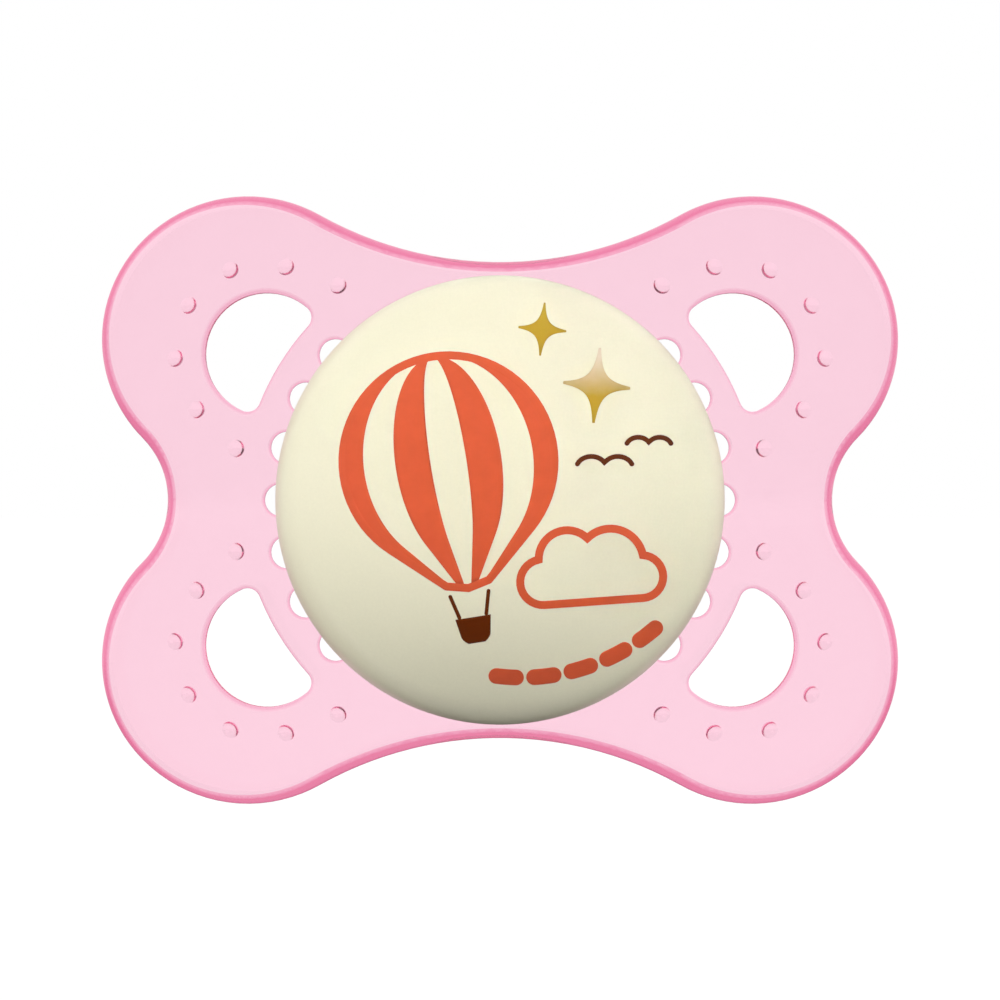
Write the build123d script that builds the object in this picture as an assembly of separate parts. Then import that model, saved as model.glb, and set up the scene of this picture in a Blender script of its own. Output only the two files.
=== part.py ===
from build123d import *

import os
from math import atan2, cos, degrees, hypot, radians, sin, sqrt

# Baby pacifier: butterfly mouth shield, silicone teat, teat plug and a two-piece snap-on button.
#
# Every piece is drawn face-on in the XY plane with +Z pointing to the front, the side with the button.
# to_row_frame then stands the pacifier up: +X stays to the right, +Z is up, the front faces -Y and the
# teat points along +Y. The origin is the centre of the button's widest circle. Sizes are in millimetres.

# Shield outline: two notches and four lobes, all tangent arcs, mirrored about both axes.
LOBE_CENTRE = (17.74, 10.95)
LOBE_UPPER_RADIUS = 10.40
LOBE_OUTER_RADIUS = 9.84
LOBE_BLEND_ANGLE = 41.0
TOP_NOTCH_RADIUS = 25.70
SIDE_NOTCH_RADIUS = 6.18

# Shield plate: a spherical shell, hollow towards the face.
SHIELD_FRONT_Z = 0.30
SHIELD_SPHERE_RADIUS = 60.0
SHIELD_THICKNESS = 2.0
SHIELD_SPHERE_Z = SHIELD_FRONT_Z - SHIELD_SPHERE_RADIUS
FRONT_EDGE_ROUND = 0.95
BACK_EDGE_ROUND = 0.80
BLANK_DEPTH = 40.0

# Each lobe has its own axis, a line through the button's centre.
LOBE_AXIS_ANGLE = 32.0

# Large vents: a circle cut off by an arc about the button's axis, one in each lobe.
VENT_DISTANCE = 19.25
VENT_RADIUS = 4.30
VENT_INNER_ARC_RADIUS = 18.17
VENT_CORNER_RADIUS = 0.90
VENT_EDGE_ROUND = 0.30

# Small air holes: seven each side, half under the button's rim.
AIR_HOLE_RADIUS = 1.12
AIR_HOLE_CIRCLE_RADIUS = 15.35
AIR_HOLE_STEP = 13.8
AIR_HOLES_EACH_SIDE = 7
AIR_HOLE_EDGE_ROUND = 0.18

# Skin-side nubs: an arch of seven low domes round each large vent, as (along, across) its lobe's axis.
NUB_RADIUS = 0.60
NUB_HEIGHT = 0.25
NUB_ARCH = [(25.50, 0.0), (24.34, 3.61), (21.18, 5.84), (17.42, 6.67)]

# Hub of the shield: bore, seat for the teat's bead, front collar with snap lips, back boss.
BORE_RADIUS = 6.70
SEAT_RADIUS = 8.60
SEAT_Z = -0.60
BOSS_RADIUS = 9.30
BOSS_BACK_Z = -3.30
BOSS_ROUND = 0.50
COLLAR_RADIUS = 9.40
COLLAR_TOP_Z = 3.30
COLLAR_LIP_RADIUS = 9.75
COLLAR_LIP_Z = 2.70
COLLAR_INNER_LIP_RADIUS = 8.35
COLLAR_INNER_LIP_Z = (2.00, 2.50)

# Teat: a hollow silicone moulding with a flattened bulb. Stations are (distance behind the boss,
# half width, half height, wall), and the bulb ends in a half ellipsoid.
BEAD_RADIUS = 8.50
BEAD_TOP_Z = 0.90
TEAT_NECK_RADIUS = 6.60
TEAT_CAVITY_RADIUS = 5.00
TEAT_FLARE_RADIUS = 7.90
TEAT_FLARE_DEPTH = 1.20
TEAT_STATIONS = [
    (1.2, 7.75, 7.75, 2.75),
    (3.0, 6.55, 6.25, 1.75),
    (5.5, 5.45, 4.85, 1.50),
    (8.5, 5.10, 4.20, 1.50),
    (12.0, 6.00, 4.35, 1.50),
    (15.5, 7.75, 5.10, 1.50),
]
BULB_DISTANCE = 19.0
BULB_HALF_WIDTH = 8.60
BULB_HALF_HEIGHT = 5.65
BULB_TIP_LENGTH = 7.0
BULB_TIP_ANGLES = (0, 25, 50, 70, 83)
TEAT_WALL = 1.50

# Teat plug: a cup that fills the teat's neck, with a flange that clamps the bead.
PLUG_RADIUS = 4.98
PLUG_FLANGE_RADIUS = 8.50
PLUG_FLANGE_TOP_Z = 1.90
PLUG_END_Z = -2.60
PLUG_WALL = 0.90
PLUG_TIP_ROUND = 0.60

# Button cap: a dome with a soft shoulder, a short straight rim and a skirt. The dome's crown is flat over
# a small disc, 0.09 mm lower than the full dome, so that the pacifier lies still face down.
BUTTON_RADIUS = 15.73
BUTTON_TOP_Z = 7.79
DOME_RADIUS = 26.0
DOME_EDGE_RADIUS = 14.20
CROWN_RADIUS = 2.20
CAP_BACK_Z = -1.20
CAP_WALL = 1.40
SKIRT_RADIUS = 14.30
LEAD_IN_DEPTH = 1.00
CAP_BACK_ROUND = 0.35
PRESSURE_RING_RADII = (6.60, 7.60)
PRESSURE_RING_Z = 2.00

# Button carrier: the dished back of the button, snapped over the collar and into the cap.
CARRIER_GAP = 0.50
CARRIER_THICKNESS = 1.20
CARRIER_RADIUS = 14.22
CARRIER_RIM_WALL = 1.00
CARRIER_RIM_TOP_Z = 1.00
CARRIER_SKIRT_RADII = (9.85, 10.95)
CARRIER_SKIRT_TOP_Z = 3.60
CARRIER_BEAD_RADIUS = 9.50
CARRIER_BEAD_Z = (1.90, 2.60)
CARRIER_BEAD_LEAD = 0.30
CARRIER_LOW_Z = -2.00
SNAP_BEAD_HEIGHT = 0.20
SNAP_BEAD_Z = 0.20
SNAP_CLEARANCE = 0.06

QUADRANTS = [(1, 1), (1, -1), (-1, 1), (-1, -1)]

# How far cutters run past what they cut, and how edges are picked for rounding.
OVERRUN = 1.0
ON_SURFACE = 0.01
EDGE_SAMPLES = (0.0, 0.37, 1.0)
EDGE_SEARCH_MARGIN = 0.20


def sphere_z(radius, distance):
    """Height of the sphere concentric with the shield at a distance from the axis."""
    return SHIELD_SPHERE_Z + sqrt(radius**2 - distance**2)


def point_at(centre, radius, angle):
    return (centre[0] + radius * cos(radians(angle)), centre[1] + radius * sin(radians(angle)))


def arc(centre, radius, start, end):
    """Arc about a centre from one angle to another, in degrees."""
    middle = (start + end) / 2
    return ThreePointArc(*[point_at(centre, radius, angle) for angle in (start, middle, end)])


def direction(start, end):
    return degrees(atan2(end[1] - start[1], end[0] - start[0]))


def ring(inner, outer, low, high):
    """A plain ring about the Z axis."""
    tube = Cylinder(outer, high - low) - Cylinder(inner, high - low)
    return Pos(0, 0, (low + high) / 2) * tube


def turned(profile):
    """Solid of revolution about Z from a closed list of (radius, z) points."""
    return revolve(make_face(Polyline(*[(r, 0, z) for r, z in profile], close=True)), Axis.Z)


def on_all_lobes(shape):
    """The shape and its mirror images in the other three lobes."""
    right = [shape, mirror(shape, Plane.XZ)]
    return right + [mirror(one, Plane.YZ) for one in right]


def shield_outline():
    """Butterfly outline from tangent arcs: notch, two lobe arcs, side notch, mirrored twice."""
    reach = TOP_NOTCH_RADIUS + LOBE_UPPER_RADIUS
    top = (0, LOBE_CENTRE[1] + sqrt(reach**2 - LOBE_CENTRE[0] ** 2))
    outer = point_at(LOBE_CENTRE, LOBE_UPPER_RADIUS - LOBE_OUTER_RADIUS, LOBE_BLEND_ANGLE)
    reach = SIDE_NOTCH_RADIUS + LOBE_OUTER_RADIUS
    side = (outer[0] + sqrt(reach**2 - outer[1] ** 2), 0)
    to_top = direction(LOBE_CENTRE, top)
    to_side = direction(outer, side)
    quarter = [
        arc(top, TOP_NOTCH_RADIUS, -90, to_top - 180),
        arc(LOBE_CENTRE, LOBE_UPPER_RADIUS, to_top, LOBE_BLEND_ANGLE),
        arc(outer, LOBE_OUTER_RADIUS, LOBE_BLEND_ANGLE, to_side),
        arc(side, SIDE_NOTCH_RADIUS, to_side + 180, 180),
    ]
    edges = [image for one in quarter for image in on_all_lobes(one)]
    return make_face(edges)


def large_vent():
    """One D-shaped vent, in the upper right lobe."""
    centre = point_at((0, 0), VENT_DISTANCE, LOBE_AXIS_ANGLE)
    face = Pos(*centre) * Circle(VENT_RADIUS) - Circle(VENT_INNER_ARC_RADIUS)
    return fillet(face.vertices(), VENT_CORNER_RADIUS)


def nub_spots():
    """Places of one lobe's nubs, either side of its axis."""
    arch = NUB_ARCH + [(along, -across) for along, across in NUB_ARCH if across]
    turns = [(hypot(u, w), LOBE_AXIS_ANGLE + degrees(atan2(w, u))) for u, w in arch]
    return [point_at((0, 0), distance, angle) for distance, angle in turns]


def air_holes():
    """Centres of the small holes round the button's rim."""
    half = (AIR_HOLES_EACH_SIDE - 1) / 2
    angles = [(i - half) * AIR_HOLE_STEP for i in range(AIR_HOLES_EACH_SIDE)]
    return [point_at((0, 0), AIR_HOLE_CIRCLE_RADIUS, turn + a) for turn in (0, 180) for a in angles]


def surface_edges(solid, near=None, within=0.0):
    """Edges where the plate's two spherical faces end, near a point if one is given."""
    centre = Vector(0, 0, SHIELD_SPHERE_Z)
    back = SHIELD_SPHERE_RADIUS - SHIELD_THICKNESS
    found = {SHIELD_SPHERE_RADIUS: [], back: []}
    for edge in solid.edges():
        ends = [edge.position_at(t) for t in EDGE_SAMPLES]
        if near and any(hypot(p.X - near[0], p.Y - near[1]) > within for p in ends):
            continue
        for radius, edges in found.items():
            if all(abs((p - centre).length - radius) < ON_SURFACE for p in ends):
                edges.append(edge)
    return found[SHIELD_SPHERE_RADIUS], found[back]


def nub(x, y):
    """One skin-side nub: a ball whose cap stands square to the plate's back."""
    back = SHIELD_SPHERE_RADIUS - SHIELD_THICKNESS
    ball = (NUB_RADIUS**2 + NUB_HEIGHT**2) / (2 * NUB_HEIGHT)
    centre = Vector(0, 0, SHIELD_SPHERE_Z)
    outwards = (Vector(x, y, sphere_z(back, hypot(x, y))) - centre).normalized()
    return Pos(centre + outwards * (back - NUB_HEIGHT + ball)) * Sphere(ball)


def hub():
    """Solid boss and collar, before the bore and the seat are cut."""
    core = Pos(0, 0, (COLLAR_TOP_Z + BOSS_BACK_Z) / 2)
    core = core * Cylinder(COLLAR_RADIUS, COLLAR_TOP_Z - BOSS_BACK_Z)
    core = fillet(core.edges().sort_by(Axis.Z)[0], BOSS_ROUND)
    lip = turned(
        [
            (COLLAR_INNER_LIP_RADIUS, COLLAR_LIP_Z),
            (COLLAR_LIP_RADIUS, COLLAR_LIP_Z),
            (COLLAR_LIP_RADIUS, (COLLAR_LIP_Z + COLLAR_TOP_Z) / 2),
            (COLLAR_RADIUS, COLLAR_TOP_Z),
            (COLLAR_INNER_LIP_RADIUS, COLLAR_TOP_Z),
        ]
    )
    return core + lip


def hub_cavity():
    """What is cut out of the hub: the bore, the bead's seat and the plug's undercut."""
    low, high = COLLAR_INNER_LIP_Z
    return turned(
        [
            (0, BOSS_BACK_Z - OVERRUN),
            (BORE_RADIUS, BOSS_BACK_Z - OVERRUN),
            (BORE_RADIUS, SEAT_Z),
            (SEAT_RADIUS, SEAT_Z),
            (SEAT_RADIUS, low),
            (COLLAR_INNER_LIP_RADIUS, low),
            (COLLAR_INNER_LIP_RADIUS, high),
            (SEAT_RADIUS, COLLAR_TOP_Z + OVERRUN),
            (0, COLLAR_TOP_Z + OVERRUN),
        ]
    )


def shield():
    """Mouth shield: curved plate, rounded rim, vents, air holes, nubs and hub."""
    # The sphere is turned so that its seam lies on the far side of the plate.
    shell = Sphere(SHIELD_SPHERE_RADIUS) - Sphere(SHIELD_SPHERE_RADIUS - SHIELD_THICKNESS)
    shell = Pos(0, 0, SHIELD_SPHERE_Z) * Rot(0, 90, 0) * shell
    blank = Pos(0, 0, -BLANK_DEPTH / 2) * extrude(shield_outline(), BLANK_DEPTH)
    plate = blank & shell
    front, back = surface_edges(plate)
    plate = fillet(front, FRONT_EDGE_ROUND)
    back = surface_edges(plate)[1]
    plate = fillet(back, BACK_EDGE_ROUND)

    vents = on_all_lobes(large_vent())
    cutters = [Pos(0, 0, -BLANK_DEPTH / 2) * extrude(one, BLANK_DEPTH) for one in vents]
    cutters += [Pos(x, y, 0) * Cylinder(AIR_HOLE_RADIUS, BLANK_DEPTH) for x, y in air_holes()]
    plate = plate - cutters
    for x, y in air_holes():
        edges = surface_edges(plate, (x, y), AIR_HOLE_RADIUS + EDGE_SEARCH_MARGIN)
        plate = fillet(edges[0] + edges[1], AIR_HOLE_EDGE_ROUND)
    x, y = point_at((0, 0), VENT_DISTANCE, LOBE_AXIS_ANGLE)
    for sx, sy in QUADRANTS:
        edges = surface_edges(plate, (sx * x, sy * y), VENT_RADIUS + EDGE_SEARCH_MARGIN)
        plate = fillet(edges[0] + edges[1], VENT_EDGE_ROUND)

    nubs = [nub(sx * x, sy * y) for x, y in nub_spots() for sx, sy in QUADRANTS]
    return plate + nubs + hub() - hub_cavity()


def teat_body(hollow):
    """The teat behind the boss: its outside, or its cavity when hollow is 1."""
    stations = [(d, a - hollow * wall, b - hollow * wall) for d, a, b, wall in TEAT_STATIONS]
    inset = hollow * TEAT_WALL
    for angle in BULB_TIP_ANGLES:
        shrink = cos(radians(angle))
        depth = BULB_DISTANCE + (BULB_TIP_LENGTH - inset) * sin(radians(angle))
        width, height = BULB_HALF_WIDTH - inset, BULB_HALF_HEIGHT - inset
        stations.append((depth, width * shrink, height * shrink))
    sections = [Pos(0, 0, BOSS_BACK_Z - d) * Ellipse(a, b) for d, a, b in stations]
    return loft([*sections, Vertex(0, 0, BOSS_BACK_Z - BULB_DISTANCE - BULB_TIP_LENGTH + inset)])


def teat():
    """Teat: bead under the plug, neck in the bore, flare on the boss and a flattened hollow bulb."""
    flare_z = BOSS_BACK_Z - TEAT_FLARE_DEPTH
    base = turned(
        [
            (0, BEAD_TOP_Z),
            (BEAD_RADIUS, BEAD_TOP_Z),
            (BEAD_RADIUS, SEAT_Z),
            (TEAT_NECK_RADIUS, SEAT_Z),
            (TEAT_NECK_RADIUS, BOSS_BACK_Z),
            (TEAT_FLARE_RADIUS, BOSS_BACK_Z),
            (TEAT_STATIONS[0][1], flare_z),
            (0, flare_z),
        ]
    )
    bore = Pos(0, 0, (BEAD_TOP_Z + flare_z) / 2)
    bore = bore * Cylinder(TEAT_CAVITY_RADIUS, BEAD_TOP_Z - flare_z)
    return base + teat_body(0) - bore - teat_body(1)


def teat_plug():
    """Cup with a flange: holds the teat's bead down and keeps its neck round."""
    flange = Pos(0, 0, (BEAD_TOP_Z + PLUG_FLANGE_TOP_Z) / 2)
    flange = flange * Cylinder(PLUG_FLANGE_RADIUS, PLUG_FLANGE_TOP_Z - BEAD_TOP_Z)
    length = PLUG_FLANGE_TOP_Z - PLUG_END_Z
    cup = Pos(0, 0, PLUG_END_Z + length / 2) * Cylinder(PLUG_RADIUS, length)
    cup = fillet(cup.edges().sort_by(Axis.Z)[0], PLUG_TIP_ROUND)
    hollow = Pos(0, 0, PLUG_END_Z + PLUG_WALL + length / 2)
    hollow = hollow * Cylinder(PLUG_RADIUS - PLUG_WALL, length)
    return flange + cup - hollow


def cap_body(offset, back_z):
    """Solid under the cap's outer surface, or under that surface moved inwards by offset."""
    radius = BUTTON_RADIUS - offset
    dome_z = BUTTON_TOP_Z - sqrt(DOME_RADIUS**2 - CROWN_RADIUS**2)
    shoulder = (BUTTON_RADIUS - DOME_EDGE_RADIUS) / (1 - DOME_EDGE_RADIUS / DOME_RADIUS)
    length = BUTTON_TOP_Z - back_z
    # The sphere is turned so that its seam and its poles lie off the cap.
    dome = Pos(0, 0, dome_z) * Rot(0, 90, 0) * Sphere(DOME_RADIUS - offset)
    body = Pos(0, 0, back_z + length / 2) * Cylinder(radius, length) & dome
    circles = body.edges().filter_by(GeomType.CIRCLE).sort_by(Axis.Z)
    return fillet(circles[1], shoulder - offset)


def snap_bead(radius, height):
    """A ring whose outside carries a three-sided bead, for the cap's groove and the carrier's rim."""
    top = SNAP_BEAD_Z + 2 * height
    low = SNAP_BEAD_Z - 2 * height
    root = radius - CARRIER_RIM_WALL / 2
    return turned([(root, low), (radius, low), (radius + height, SNAP_BEAD_Z), (radius, top), (root, top)])


def button_cap():
    """Domed front of the button, with a skirt round the carrier and a ring that locks the plug."""
    outer = cap_body(0, CAP_BACK_Z)
    outer = fillet(outer.edges().sort_by(Axis.Z)[0], CAP_BACK_ROUND)
    inner_reach = BUTTON_RADIUS - CAP_WALL
    hollow = cap_body(CAP_WALL, CAP_BACK_Z - OVERRUN)
    lead_in = ring(inner_reach - OVERRUN, SKIRT_RADIUS, CAP_BACK_Z - OVERRUN, CAP_BACK_Z + LEAD_IN_DEPTH)
    shell = outer - hollow - lead_in
    groove = snap_bead(inner_reach, SNAP_BEAD_HEIGHT)
    shell = shell - groove
    lock = ring(*PRESSURE_RING_RADII, PRESSURE_RING_Z, BUTTON_TOP_Z)
    return shell + (lock & cap_body(CAP_WALL / 2, CAP_BACK_Z))


def button_carrier():
    """Dished back of the button: skirt over the collar, web that follows the shield, snap rim."""
    inner, outer = CARRIER_SKIRT_RADII
    back = SHIELD_SPHERE_RADIUS + CARRIER_GAP
    web = Sphere(back + CARRIER_THICKNESS) - Sphere(back)
    web = Pos(0, 0, SHIELD_SPHERE_Z) * Rot(0, 90, 0) * web
    web = web & ring(inner, CARRIER_RADIUS, SHIELD_SPHERE_Z, COLLAR_TOP_Z)
    above_back = Pos(0, 0, SHIELD_SPHERE_Z) * Rot(0, 90, 0) * Sphere(back)
    skirt = ring(inner, outer, CARRIER_LOW_Z, CARRIER_SKIRT_TOP_Z) - above_back
    low, high = CARRIER_BEAD_Z
    catch = turned(
        [
            (inner + CARRIER_BEAD_LEAD, low - CARRIER_BEAD_LEAD),
            (inner, low - CARRIER_BEAD_LEAD),
            (CARRIER_BEAD_RADIUS, low),
            (CARRIER_BEAD_RADIUS, high),
            (inner + CARRIER_BEAD_LEAD, high),
        ]
    )
    rim_inner = CARRIER_RADIUS - CARRIER_RIM_WALL
    rim = ring(rim_inner, CARRIER_RADIUS, CARRIER_LOW_Z, CARRIER_RIM_TOP_Z) - above_back
    bead = snap_bead(CARRIER_RADIUS, SNAP_BEAD_HEIGHT - SNAP_CLEARANCE)
    return web + skirt + catch + rim + bead


def to_row_frame(shape):
    """Stands the face-on drawing up: its Y becomes +Z and its front becomes -Y."""
    return Rot(90, 0, 0) * shape


PARTS = {
    "shield": shield,
    "teat": teat,
    "teat_plug": teat_plug,
    "button_cap": button_cap,
    "button_carrier": button_carrier,
}

os.makedirs("parts", exist_ok=True)
for name, make in PARTS.items():
    export_step(to_row_frame(make()), f"parts/{name}.step")
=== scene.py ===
"""Looks of the baby pacifier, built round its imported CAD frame.

The script sets the materials, draws the button's print and makes the studio and the camera.
"""

from math import atan2, ceil, cos, degrees, hypot, pi, radians, sin, sqrt, tan

import bpy
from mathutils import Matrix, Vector


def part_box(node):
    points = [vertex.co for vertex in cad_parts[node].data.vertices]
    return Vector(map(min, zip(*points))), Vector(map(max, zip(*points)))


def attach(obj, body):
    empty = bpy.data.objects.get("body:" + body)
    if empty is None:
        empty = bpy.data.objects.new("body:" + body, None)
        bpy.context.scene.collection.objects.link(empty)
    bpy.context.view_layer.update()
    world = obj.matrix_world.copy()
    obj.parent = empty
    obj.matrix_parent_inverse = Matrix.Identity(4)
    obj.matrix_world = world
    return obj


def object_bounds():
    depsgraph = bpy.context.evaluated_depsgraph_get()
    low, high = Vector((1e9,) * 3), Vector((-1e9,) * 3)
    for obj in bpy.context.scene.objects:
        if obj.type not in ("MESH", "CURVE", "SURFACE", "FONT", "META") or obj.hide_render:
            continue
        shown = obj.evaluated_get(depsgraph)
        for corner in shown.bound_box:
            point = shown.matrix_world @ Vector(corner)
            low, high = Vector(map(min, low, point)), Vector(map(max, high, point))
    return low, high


MM = 0.001

# The shield's own geometry, for its material. Pairs are the start and the end of a soft change.
SHIELD_SPHERE_CENTRE = 59.7 * MM
SHELL_REACH = (58.05 * MM, 59.05 * MM)
VENT_CENTRE = (16.32 * MM, 0, 10.20 * MM)
VENT_REACH = (4.9 * MM, 5.4 * MM)
HUB_REACH = (16.8 * MM, 17.0 * MM)
HUB_HEIGHT = (12.4 * MM, 12.9 * MM)

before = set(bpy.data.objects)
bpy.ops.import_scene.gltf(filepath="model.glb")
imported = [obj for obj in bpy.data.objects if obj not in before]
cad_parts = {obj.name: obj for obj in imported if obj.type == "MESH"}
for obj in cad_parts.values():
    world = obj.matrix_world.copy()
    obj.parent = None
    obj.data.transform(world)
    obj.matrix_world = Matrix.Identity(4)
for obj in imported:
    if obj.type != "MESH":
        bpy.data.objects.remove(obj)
cad_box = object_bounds()

# ---------------------------------------------------------------- materials


def new_material(name, colour, roughness, **inputs):
    """A material with a Principled shader, and its node tree's parts."""
    material = bpy.data.materials.new(name)
    material.use_nodes = True
    tree = material.node_tree
    shader = tree.nodes["Principled BSDF"]
    shader.inputs["Base Color"].default_value = (*colour, 1)
    shader.inputs["Roughness"].default_value = roughness
    for socket, value in inputs.items():
        shader.inputs[socket.replace("_", " ")].default_value = value
    material.diffuse_color = (*colour, 1)
    return material, tree, shader


def noise(tree, scale, detail=3.0, roughness=0.5):
    """Noise in the object's own metres; scale is in cycles per metre."""
    place = tree.nodes.new("ShaderNodeTexCoord")
    texture = tree.nodes.new("ShaderNodeTexNoise")
    texture.inputs["Scale"].default_value = scale
    texture.inputs["Detail"].default_value = detail
    texture.inputs["Roughness"].default_value = roughness
    tree.links.new(place.outputs["Object"], texture.inputs["Vector"])
    return texture.outputs["Fac"]


def gradient(tree, factor, stops):
    """Colour that runs through stops of (factor, colour)."""
    node = tree.nodes.new("ShaderNodeValToRGB")
    elements = node.color_ramp.elements
    while len(elements) < len(stops):
        elements.new(0.5)
    for element, (position, colour) in zip(elements, stops):
        element.position = position
        element.color = (*colour, 1)
    tree.links.new(factor, node.inputs["Fac"])
    return node.outputs["Color"]


def remap(tree, value, low, high, start=0.3, end=0.7):
    """Value that goes from low to high as the input goes from start to end."""
    node = tree.nodes.new("ShaderNodeMapRange")
    node.inputs["From Min"].default_value = start
    node.inputs["From Max"].default_value = end
    node.inputs["To Min"].default_value = low
    node.inputs["To Max"].default_value = high
    tree.links.new(value, node.inputs["Value"])
    return node.outputs["Result"]


def add_bump(tree, shader, height, depth):
    """Moulded or printed relief, depth in metres."""
    bump = tree.nodes.new("ShaderNodeBump")
    bump.inputs["Distance"].default_value = depth
    tree.links.new(height, bump.inputs["Height"])
    tree.links.new(bump.outputs["Normal"], shader.inputs["Normal"])


def add_absorption(tree, taken, density):
    """Tint that deepens with the length of a ray inside: taken is what each colour loses."""
    node = tree.nodes.new("ShaderNodeVolumeAbsorption")
    node.inputs["Color"].default_value = (*[1 - t for t in taken], 1)
    node.inputs["Density"].default_value = density
    tree.links.new(node.outputs["Volume"], tree.nodes["Material Output"].inputs["Volume"])


def varied(tree, shader, colour, spread, scale):
    """Base colour that wanders by a small share of itself."""
    low = [c * (1 - spread) for c in colour]
    high = [min(c * (1 + spread), 1) for c in colour]
    tree.links.new(gradient(tree, noise(tree, scale), ((0.3, low), (0.7, high))), shader.inputs["Base Color"])


def vector_math(tree, operation, first, second=None):
    node = tree.nodes.new("ShaderNodeVectorMath")
    node.operation = operation
    for socket, value in zip(node.inputs, (first, second)):
        if isinstance(value, tuple):
            socket.default_value = value
        elif value is not None:
            tree.links.new(value, socket)
    return node.outputs["Value" if operation in ("LENGTH", "DISTANCE") else "Vector"]


def math(tree, operation, *values):
    node = tree.nodes.new("ShaderNodeMath")
    node.operation = operation
    for socket, value in zip(node.inputs, values):
        if isinstance(value, (int, float)):
            socket.default_value = value
        else:
            tree.links.new(value, socket)
    return node.outputs["Value"]


def edge_lean(tree):
    """Sine of the angle between the surface and the shield's own sphere: 0 on its faces, 1 on its walls."""
    place = tree.nodes.new("ShaderNodeTexCoord")
    radial = vector_math(tree, "SUBTRACT", place.outputs["Object"], (0, SHIELD_SPHERE_CENTRE, 0))
    radial = vector_math(tree, "NORMALIZE", radial)
    return vector_math(tree, "LENGTH", vector_math(tree, "CROSS_PRODUCT", radial, place.outputs["Normal"]))


def shell_depth(tree):
    """0 on the shield's skin side and its nubs, rising to 1 on the front half of its thickness."""
    place = tree.nodes.new("ShaderNodeTexCoord")
    reach = vector_math(tree, "DISTANCE", place.outputs["Object"], (0, SHIELD_SPHERE_CENTRE, 0))
    return remap(tree, reach, 0, 1, *SHELL_REACH)


def near_vents(tree):
    """1 round the vents and the air holes, 0 along the shield's outer edge."""
    place = tree.nodes.new("ShaderNodeTexCoord")
    quarter = vector_math(tree, "ABSOLUTE", place.outputs["Object"])
    flat = vector_math(tree, "MULTIPLY", quarter, (1, 0, 1))
    vent = remap(tree, vector_math(tree, "DISTANCE", flat, VENT_CENTRE), 1, 0, *VENT_REACH)
    hub = remap(tree, vector_math(tree, "LENGTH", flat), 1, 0, *HUB_REACH)
    split = tree.nodes.new("ShaderNodeSeparateXYZ")
    tree.links.new(quarter, split.inputs["Vector"])
    beside = remap(tree, split.outputs["Z"], 1, 0, *HUB_HEIGHT)
    return math(tree, "MAXIMUM", vent, math(tree, "MULTIPLY", hub, beside))


def pink_clear_plastic():
    """Tinted see-through polypropylene with a satin moulded skin. Its rounded edges carry painted shade: the
    base colour turns a deeper pink on the walls than on the faces, for light piped along the plate that leaves
    by the edges after a long way through the tint."""
    clear = (0.990, 0.815, 0.875)
    # Painted shade: base colour runs from the pale face colour to a deep pink as the surface leans into a wall.
    rim = (
        (0.012, clear),
        (0.03, (0.98, 0.68, 0.78)),
        (0.06, (0.96, 0.52, 0.67)),
        (0.20, (0.85, 0.235, 0.405)),
        (0.36, (0.74, 0.095, 0.23)),
    )
    # Milder painted shade on the walls round the vents, the air holes and the hub.
    painted_vent_shade = ((0.05, clear), (0.60, (0.88, 0.45, 0.60)))
    inputs = {"IOR": 1.45, "Transmission_Weight": 1.0}
    material, tree, shader = new_material("pink_clear_plastic", clear, 0.12, **inputs)
    lean = math(tree, "MULTIPLY", edge_lean(tree), shell_depth(tree))
    mix = tree.nodes.new("ShaderNodeMix")
    mix.data_type = "RGBA"
    tree.links.new(near_vents(tree), mix.inputs["Factor"])
    tree.links.new(gradient(tree, lean, rim), mix.inputs["A"])
    tree.links.new(gradient(tree, lean, painted_vent_shade), mix.inputs["B"])
    tree.links.new(mix.outputs["Result"], shader.inputs["Base Color"])
    tree.links.new(remap(tree, noise(tree, 400), 0.08, 0.18), shader.inputs["Roughness"])
    add_bump(tree, shader, noise(tree, 900, 4.0), 0.004 * MM)
    add_absorption(tree, (0.03, 1.0, 0.62), 110)
    return material


def ivory_plastic():
    """Glow-in-the-dark ivory plastic: smooth, softly glossy, with very fine pigment."""
    ivory = (0.93, 0.885, 0.665)
    material, tree, shader = new_material("ivory_plastic", ivory, 0.35, IOR=1.46)
    varied(tree, shader, ivory, 0.012, 6000)
    tree.links.new(remap(tree, noise(tree, 700), 0.30, 0.40), shader.inputs["Roughness"])
    add_bump(tree, shader, noise(tree, 2500, 2.0), 0.003 * MM)
    return material


def white_plastic():
    """Plain white plastic of the hidden pieces, with the dull grain of an unpolished mould."""
    white = (0.91, 0.905, 0.885)
    material, tree, shader = new_material("white_plastic", white, 0.45, IOR=1.46)
    varied(tree, shader, white, 0.03, 500)
    tree.links.new(remap(tree, noise(tree, 1500), 0.38, 0.55), shader.inputs["Roughness"])
    add_bump(tree, shader, noise(tree, 4000, 3.0), 0.006 * MM)
    return material


def clear_silicone():
    """Soft clear silicone with a smooth, faintly cloudy skin."""
    clear = (0.985, 0.985, 0.975)
    inputs = {"IOR": 1.41, "Transmission_Weight": 1.0}
    material, tree, shader = new_material("clear_silicone", clear, 0.14, **inputs)
    varied(tree, shader, clear, 0.01, 200)
    tree.links.new(remap(tree, noise(tree, 260), 0.10, 0.20), shader.inputs["Roughness"])
    add_bump(tree, shader, noise(tree, 450, 2.0), 0.010 * MM)
    add_absorption(tree, (0.12, 0.18, 0.40), 30)
    return material


def ink(name, colour, roughness):
    """Screen-printed ink: nearly even, with a faint mottle where the film is thinner."""
    material, tree, shader = new_material(name, colour, roughness, IOR=1.33)
    varied(tree, shader, colour, 0.03, 900)
    uneven = remap(tree, noise(tree, 2500), roughness - 0.06, roughness + 0.06)
    tree.links.new(uneven, shader.inputs["Roughness"])
    add_bump(tree, shader, noise(tree, 5000, 2.0), 0.004 * MM)
    return material


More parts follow.
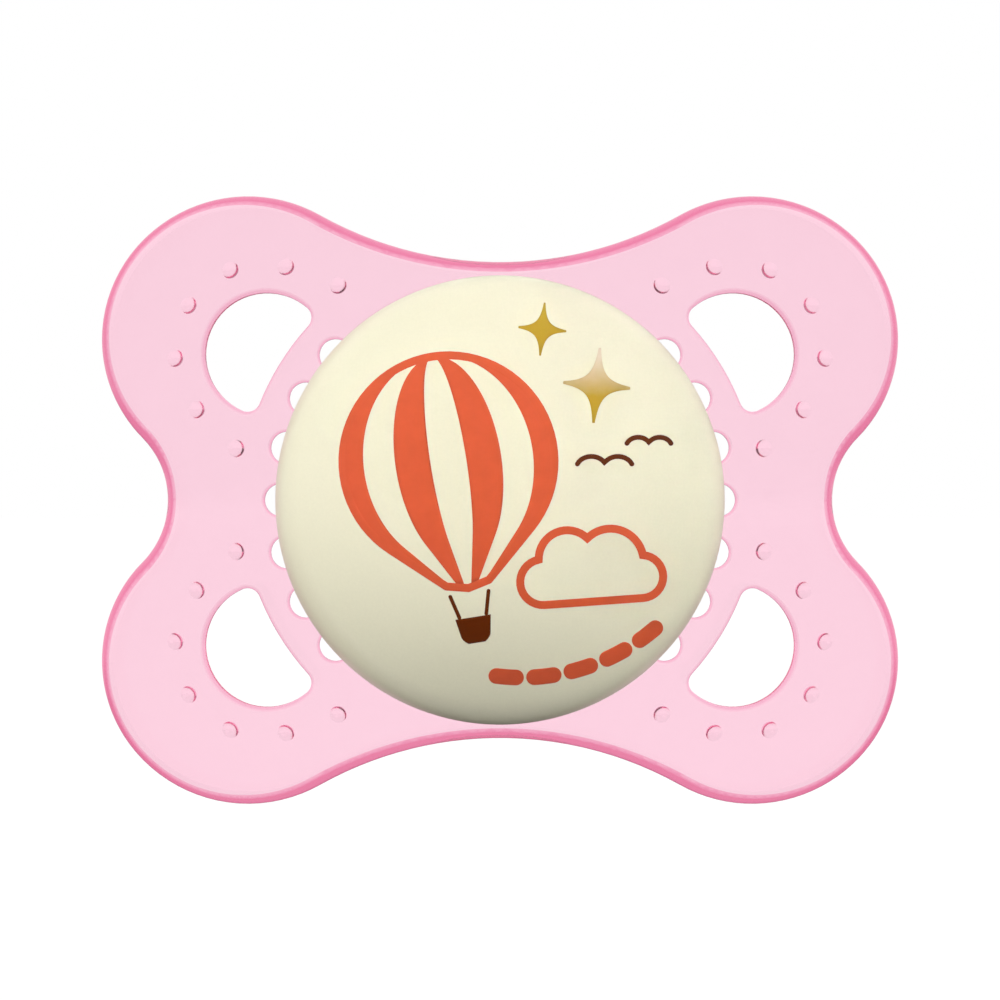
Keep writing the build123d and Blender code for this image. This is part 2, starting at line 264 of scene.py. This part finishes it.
def gold_ink(name, tip):
    """Gold ink that fades upwards along the piece, from deep gold to the colour of its tip."""
    deep = (0.56, 0.345, 0.018)
    material, tree, shader = new_material(name, deep, 0.35, IOR=1.48)
    place = tree.nodes.new("ShaderNodeTexCoord")
    split = tree.nodes.new("ShaderNodeSeparateXYZ")
    tree.links.new(place.outputs["Generated"], split.inputs["Vector"])
    height = math(tree, "MULTIPLY_ADD", noise(tree, 1200), 0.12, split.outputs["Z"])
    colour = gradient(tree, height, ((0.42, deep), (0.95, tip)))
    tree.links.new(colour, shader.inputs["Base Color"])
    add_bump(tree, shader, noise(tree, 5000, 2.0), 0.004 * MM)
    return material


CAD_MATERIALS = {
    "shield": pink_clear_plastic(),
    "button_cap": ivory_plastic(),
    "teat": clear_silicone(),
    "teat_plug": white_plastic(),
}
CAD_MATERIALS["button_carrier"] = CAD_MATERIALS["teat_plug"]
CORAL = ink("coral_ink", (0.765, 0.117, 0.047), 0.45)
BROWN = ink("brown_ink", (0.130, 0.022, 0.001), 0.45)
GOLD = gold_ink("gold_ink", (0.60, 0.40, 0.03))
FADED_GOLD = gold_ink("gold_ink_faded", (0.86, 0.73, 0.52))

# Light reaches the hidden white pieces through the clear ones.
for node in ("shield", "teat"):
    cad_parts[node].visible_shadow = False

for node, material in CAD_MATERIALS.items():
    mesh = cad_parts[node].data
    mesh.materials.clear()
    mesh.materials.append(material)

# ---------------------------------------------------------------- print on the button
# The motif is drawn flat, in millimetres from the button's centre (x to the right, z up), as bands: rows of
# (centre, sideways direction, half width). Each band becomes a thin closed film that lies on the dome.
# Stripes under the balloon's outline are thinner films, so that the outline covers their ends.

DOME_RADIUS = 26.0
CROWN_RADIUS = 2.2
CROWN_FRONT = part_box("button_cap")[0].y / MM
DOME_CENTRE = CROWN_FRONT + sqrt(DOME_RADIUS**2 - CROWN_RADIUS**2)
FILM_HEIGHT = 0.024
UNDER_FILM_HEIGHT = 0.017
FILM_ROOT = -0.030
LINE = 0.28
LONGEST_STEP = 0.5
ACROSS = (-1.0, -0.85, -0.4, 0.4, 0.85, 1.0)


def on_dome(x, z, lift):
    """The point of the dome in front of (x, z), lifted off it, in metres."""
    out = 1 + lift / DOME_RADIUS
    y = DOME_CENTRE - sqrt(DOME_RADIUS**2 - x * x - z * z) * out
    return Vector((x * out, max(y, CROWN_FRONT - lift), z * out)) * MM


def outward(points, faces):
    """The faces of a closed mesh, all turned so that their normals point out of it."""
    volume = 0
    for face in faces:
        for second, third in zip(face[1:], face[2:]):
            volume += points[face[0]].dot(points[second].cross(points[third]))
    return faces if volume > 0 else [tuple(reversed(face)) for face in faces]


def film(rows, closed=False, height=FILM_HEIGHT):
    """Vertices and faces of one band of ink, thinner at its two edges."""
    points, faces = [], []
    width = len(ACROSS)
    for (x, z), (sx, sz), half in rows:
        lifts = [height / 2 if abs(a) == 1 else height for a in ACROSS]
        points += [on_dome(x + a * half * sx, z + a * half * sz, lift) for a, lift in zip(ACROSS, lifts)]
        points += [on_dome(x + a * half * sx, z + a * half * sz, FILM_ROOT) for a in reversed(ACROSS)]
    loop = 2 * width
    count = len(rows)
    for i in range(count if closed else count - 1):
        here, there = i * loop, (i + 1) % count * loop
        for j in range(loop):
            k = (j + 1) % loop
            faces.append((here + j, here + k, there + k, there + j))
    if not closed:
        faces.append(tuple(reversed(range(loop))))
        faces.append(tuple(range((count - 1) * loop, count * loop)))
    return points, outward(points, faces)


def print_piece(name, material, bands):
    """One printed piece from its bands, riding on the button."""
    points, faces = [], []
    for more, around in bands:
        faces += [tuple(len(points) + i for i in face) for face in around]
        points += more
    mesh = bpy.data.meshes.new(name)
    mesh.from_pydata(points, [], faces)
    mesh.materials.append(material)
    for polygon in mesh.polygons:
        polygon.use_smooth = polygon.normal.y < -0.5
    piece = bpy.data.objects.new(name, mesh)
    bpy.context.scene.collection.objects.link(piece)
    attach(piece, "root")


def heading(start, end):
    size = hypot(end[0] - start[0], end[1] - start[1])
    return ((end[0] - start[0]) / size, (end[1] - start[1]) / size)


def sideways(points, i, closed):
    """Unit direction across a path at one of its points, and how much wider a corner must be drawn."""
    last = len(points) - 1
    ways = []
    if i or closed:
        ways.append(heading(points[i - 1], points[i]))
    if i < last or closed:
        ways.append(heading(points[i], points[(i + 1) % len(points)]))
    x, z = sum(way[0] for way in ways), sum(way[1] for way in ways)
    size = hypot(x, z)
    return (-z / size, x / size), min(len(ways) / size, 1.5)


def dense(points, closed):
    """The path with its long runs divided, so that a band along it follows the dome."""
    made = []
    for i, (x, z) in enumerate(points):
        made.append((x, z))
        if i == len(points) - 1 and not closed:
            break
        x2, z2 = points[(i + 1) % len(points)]
        parts = ceil(hypot(x2 - x, z2 - z) / LONGEST_STEP)
        made += [(x + (x2 - x) * k / parts, z + (z2 - z) * k / parts) for k in range(1, parts)]
    return made


def stroke(points, half=LINE, closed=False, caps=5):
    """A line of even width with round ends, along a path."""
    points = dense(points, closed)
    across = [sideways(points, i, closed) for i in range(len(points))]
    rows = [(point, side, half * wider) for point, (side, wider) in zip(points, across)]
    if closed:
        return film(rows, True)

    def cap(point, side, forward):
        made = []
        for i in range(1, caps + 1):
            turn = pi / 2 * i / (caps + 0.3)
            reach = forward * half * sin(turn)
            made.append(((point[0] + reach * side[1], point[1] - reach * side[0]), side, half * cos(turn)))
        return made

    start = list(reversed(cap(points[0], across[0][0], -1)))
    return film(start + rows + cap(points[-1], across[-1][0], 1))


def arc(centre, radius, start, end, steps=24, squash=1.0):
    """Points along a circle's arc, in degrees, or an ellipse's with squash."""
    turns = [radians(start + (end - start) * i / steps) for i in range(steps + 1)]
    return [(centre[0] + radius * cos(t), centre[1] + radius * squash * sin(t)) for t in turns]


def placed(points, centre, tilt):
    """Points turned by tilt degrees about their own zero, then moved."""
    c, s = cos(radians(tilt)), sin(radians(tilt))
    return [(centre[0] + x * c - z * s, centre[1] + x * s + z * c) for x, z in points]


def filled(profile, centre=(0, 0), tilt=0, height=FILM_HEIGHT):
    """A filled shape from its upright profile of (height over the centre, left, right)."""
    c, s = cos(radians(tilt)), sin(radians(tilt))
    rows = []
    for z, left, right in profile:
        middle = placed([((left + right) / 2, z)], centre, tilt)[0]
        rows.append((middle, (c, s), (right - left) / 2))
    return film(rows, height=height)


# Balloon: a round crown that narrows in a straight taper to its mouth. Gores are its stripes, each between
# two meridians given as shares of the half width.
BALLOON_CENTRE = (-3.6, 2.7)
BALLOON_TILT = 9.0
BALLOON_RADIUS = 7.4
BALLOON_TAPER_ANGLE = 138.0
BALLOON_MOUTH = 1.5
GORES = ((-1.0, -0.80), (-0.50, -0.17), (0.17, 0.50), (0.80, 1.0))
ROPE_LINE = 0.13


def balloon_half_width(z):
    """Half width of the balloon's skin at a height over its centre."""
    turn = radians(BALLOON_TAPER_ANGLE)
    joint = BALLOON_RADIUS * cos(turn)
    if z > joint:
        return sqrt(max(BALLOON_RADIUS**2 - z * z, 0))
    return BALLOON_RADIUS * sin(turn) - (joint - z) * tan(turn - pi / 2)


def balloon_mouth_height():
    turn = radians(BALLOON_TAPER_ANGLE)
    drop = (BALLOON_RADIUS * sin(turn) - BALLOON_MOUTH) / tan(turn - pi / 2)
    return BALLOON_RADIUS * cos(turn) - drop


def balloon_outline():
    """Crown arc from the left joint over the top to the right one, with the taper's ends."""
    low = balloon_mouth_height()
    rise = 90 - BALLOON_TAPER_ANGLE
    crown = arc((0, 0), BALLOON_RADIUS, 180 - rise, rise, 56)
    return [(-BALLOON_MOUTH, low), *crown, (BALLOON_MOUTH, low)]


def gore(left, right, top, bottom):
    """A filled stripe of the balloon between two meridians."""
    profile = []
    steps = 48
    for i in range(steps + 1):
        z = top + (bottom - top) * i / steps
        wide = balloon_half_width(z)
        profile.append((z, wide * left, wide * right))
    return filled(profile, BALLOON_CENTRE, BALLOON_TILT, UNDER_FILM_HEIGHT)


def on_balloon(points):
    return placed(points, BALLOON_CENTRE, BALLOON_TILT)


def draw_balloon():
    top = BALLOON_RADIUS - 0.05
    low = balloon_mouth_height()
    mouth = [(-BALLOON_MOUTH, low), (0, low - 0.35), (BALLOON_MOUTH, low)]
    lines = [stroke(on_balloon(balloon_outline())), stroke(on_balloon(mouth))]
    print_piece("print_balloon_outline", CORAL, lines)
    stripes = [gore(left, right, top, low) for left, right in GORES]
    print_piece("print_balloon_stripes", CORAL, stripes)

    rope_top, rope_end = low - 0.75, low - 2.3
    ropes = [[(side * 1.35, rope_top), (side * 0.95, rope_end)] for side in (-1, 1)]
    ropes = [stroke(on_balloon(rope), ROPE_LINE) for rope in ropes]
    print_piece("print_ropes", BROWN, ropes)
    steps = 12
    basket = []
    for i in range(steps + 1):
        t = i / steps
        half = 1.25 - 0.30 * t - 0.35 * max(t - 0.7, 0) ** 2 / 0.09
        basket.append((rope_end - 0.1 - 1.8 * t, -half, half))
    print_piece("print_basket", BROWN, [filled(basket, BALLOON_CENTRE, BALLOON_TILT)])


# Puffs of the cloud from left to right, each (x, z, radius).
CLOUD_PUFFS = ((-3.3, 0.0, 1.6), (-1.5, 1.5, 2.0), (1.5, 1.1, 2.3), (3.6, -0.1, 1.5))


def crossing(first, second):
    """Upper crossing point of two circles, each (x, z, radius), the first one to the left."""
    (x1, z1, r1), (x2, z2, r2) = first, second
    gap = hypot(x2 - x1, z2 - z1)
    along = (gap * gap + r1 * r1 - r2 * r2) / (2 * gap)
    off = sqrt(r1 * r1 - along * along)
    ux, uz = (x2 - x1) / gap, (z2 - z1) / gap
    return (x1 + along * ux - off * uz, z1 + along * uz + off * ux)


def cloud_outline():
    """A cloud of round puffs on a flat base, as one closed path."""
    first, last = CLOUD_PUFFS[0], CLOUD_PUFFS[-1]
    joints = [crossing(left, right) for left, right in zip(CLOUD_PUFFS, CLOUD_PUFFS[1:])]
    joints = [(first[0], first[1] - first[2]), *joints, (last[0], last[1] - last[2])]
    points = []
    for (x, z, radius), before, after in zip(CLOUD_PUFFS, joints, joints[1:]):
        start = degrees(atan2(before[1] - z, before[0] - x)) % 360
        end = degrees(atan2(after[1] - z, after[0] - x))
        while end > start:
            end -= 360
        points += arc((x, z), radius, start, end, 16)[:-1]
    return [*points, joints[-1]]


def draw_cloud():
    path = placed(cloud_outline(), (6.3, -5.5), 4)
    print_piece("print_cloud", CORAL, [stroke(path, closed=True)])


TRAIL_CENTRE = (1.5, 2.0)
TRAIL_RADIUS = 14.4
TRAIL_STARTS = (-97.0, -86.5, -76.0, -65.5, -55.0)
DASH_ANGLE = 5.5
DASH_HALF_WIDTH = 0.55


def draw_trail():
    """Fat dashes that swing away under the cloud."""
    dashes = [arc(TRAIL_CENTRE, TRAIL_RADIUS, start, start + DASH_ANGLE, 6) for start in TRAIL_STARTS]
    print_piece("print_trail", CORAL, [stroke(dash, DASH_HALF_WIDTH) for dash in dashes])


BIRDS = ((7.3, 2.2, 1.05), (10.4, 3.7, 0.85))
BIRD_LINE = 0.17


def draw_birds():
    """Two birds, each one line over both wings with a dip in the middle."""
    bands = []
    for x, z, size in BIRDS:
        reach = size * cos(radians(28))
        left = arc((x - reach, z), size, 158, 30, 10, 0.8)
        right = arc((x + reach, z), size, 150, 22, 10, 0.8)
        bands.append(stroke(left + right[1:], BIRD_LINE))
    print_piece("print_birds", BROWN, bands)


SPARKLE_CORE = 0.10
SPARKLE_SPREAD = 0.150


def sparkle(name, material, centre, half_width, half_height, tilt):
    """A four-pointed star with hollow sides and blunt thin tips."""
    steps = 60
    profile = []
    for i in range(steps + 1):
        s = -1 + 2 * i / steps
        s = s * abs(s)
        half = min(SPARKLE_SPREAD / (abs(s) + SPARKLE_CORE) - SPARKLE_CORE, 1)
        profile.append((s * half_height, -half * half_width, half * half_width))
    print_piece(name, material, [filled(profile, centre, tilt)])


draw_balloon()
draw_cloud()
draw_trail()
draw_birds()
sparkle("print_sparkle_small", GOLD, (2.96, 11.93), 1.68, 1.86, -5)
sparkle("print_sparkle_large", FADED_GOLD, (6.75, 8.00), 2.35, 2.63, -5)

# ---------------------------------------------------------------- studio and camera

CENTRE = Vector((0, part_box("shield")[1].y / 2, 0))
FLOOR_RADIUS = 30.0
FRAME_WIDTH = 70.2 * MM
LENS = 1000.0
SENSOR = 36.0
LIGHT_DISTANCE = 0.9
BEAM_SIZE = 0.3
BEAM_FOOT = -16 * MM
BEAM_SPREAD = 2.6
BEAM_POWER = 0.167
KEY_POWER = 0.63
SIDE_POWER = 1.4
SOFT_BOX = 0.5


def studio_floor():
    """A wide disc that the lower lobes stand on. It glows white and takes no part in lighting the object."""
    steps = 96
    turns = [2 * pi * i / steps for i in range(steps)]
    rim = [(FLOOR_RADIUS * cos(turn), FLOOR_RADIUS * sin(turn), 0) for turn in turns]
    mesh = bpy.data.meshes.new("floor")
    mesh.from_pydata(rim, [], [tuple(range(steps))])
    floor = bpy.data.objects.new("floor", mesh)
    floor.location.z = cad_box[0][2]
    bpy.context.scene.collection.objects.link(floor)
    material, tree, shader = new_material("floor", (0.15, 0.15, 0.15), 0.9)
    shader.inputs["Specular IOR Level"].default_value = 0
    shader.inputs["Emission Color"].default_value = (1, 1, 1, 1)
    shader.inputs["Emission Strength"].default_value = 0.925
    mesh.materials.append(material)
    floor.visible_diffuse = False
    floor.visible_glossy = False
    floor.visible_shadow = False


# Brightness of the world in front of the object, as (elevation in degrees, level).
FRONT_SHADE = (
    (-65, 0.35),
    (-45, 0.02),
    (-10, 0.06),
    (-2.95, 0.13),
    (-2.5, 1),
    (-1.2, 1),
    (-0.8, 0.17),
    (3, 0.3),
    (15, 0.45),
)


def studio_world():
    """White behind the object down to the floor, and dim in front of it, so that the lights shape the button.
    A thin white band runs all round just under the horizon, for the top of a view from slightly above."""
    world = bpy.data.worlds.new("studio")
    bpy.context.scene.world = world
    world.use_nodes = True
    tree = world.node_tree
    place = tree.nodes.new("ShaderNodeTexCoord")
    split = tree.nodes.new("ShaderNodeSeparateXYZ")
    tree.links.new(place.outputs["Generated"], split.inputs["Vector"])
    height = remap(tree, split.outputs["Z"], 0, 1, -1, 1)
    stops = [((sin(radians(elevation)) + 1) / 2, (level, level, level)) for elevation, level in FRONT_SHADE]
    front = gradient(tree, height, stops)
    behind = remap(tree, split.outputs["Y"], 0, 1, -0.05, 0.15)
    behind = math(tree, "MULTIPLY", behind, remap(tree, split.outputs["Z"], 0, 1, -0.28, -0.10))
    level = math(tree, "MAXIMUM", behind, front)
    background = tree.nodes["Background"]
    background.inputs["Color"].default_value = (1, 1, 1, 1)
    tree.links.new(level, background.inputs["Strength"])


def studio_light(name, azimuth, elevation, size, power):
    """A soft box aimed at the object. It lights the opaque pieces and leaves no patch on the clear ones."""
    data = bpy.data.lights.new(name, "AREA")
    data.shape = "SQUARE"
    data.size = size
    data.energy = power
    light = bpy.data.objects.new(name, data)
    a, e = radians(azimuth), radians(elevation)
    light.location = Vector((sin(a) * cos(e), -cos(a) * cos(e), sin(e))) * LIGHT_DISTANCE
    light.rotation_euler = (-light.location).to_track_quat("-Z", "Y").to_euler()
    light.visible_glossy = False
    light.visible_transmission = False
    bpy.context.scene.collection.objects.link(light)
    return light


def level_beam():
    """A level beam from the front. Its soft lower edge crosses the button's foot and darkens the dome there."""
    light = studio_light("front", 0, 0, BEAM_SIZE, BEAM_POWER)
    light.location.z = BEAM_FOOT + BEAM_SIZE / 2
    light.data.spread = radians(BEAM_SPREAD)


def photo_camera():
    data = bpy.data.cameras.new("camera")
    data.lens = LENS
    data.sensor_width = SENSOR
    distance = FRAME_WIDTH * LENS / SENSOR
    data.clip_start = 0.01
    data.clip_end = 200
    camera = bpy.data.objects.new("camera", data)
    camera.location = (0, CENTRE.y - distance, 0)
    camera.rotation_euler = (pi / 2, 0, 0)
    bpy.context.scene.collection.objects.link(camera)
    bpy.context.scene.camera = camera


studio_floor()
studio_world()
level_beam()
for side in (-1, 1):
    studio_light("key", 40 * side, 45, SOFT_BOX, KEY_POWER)
    studio_light("side", 80 * side, 10, SOFT_BOX, SIDE_POWER)
photo_camera()
bpy.context.scene.view_settings.view_transform = "Standard"
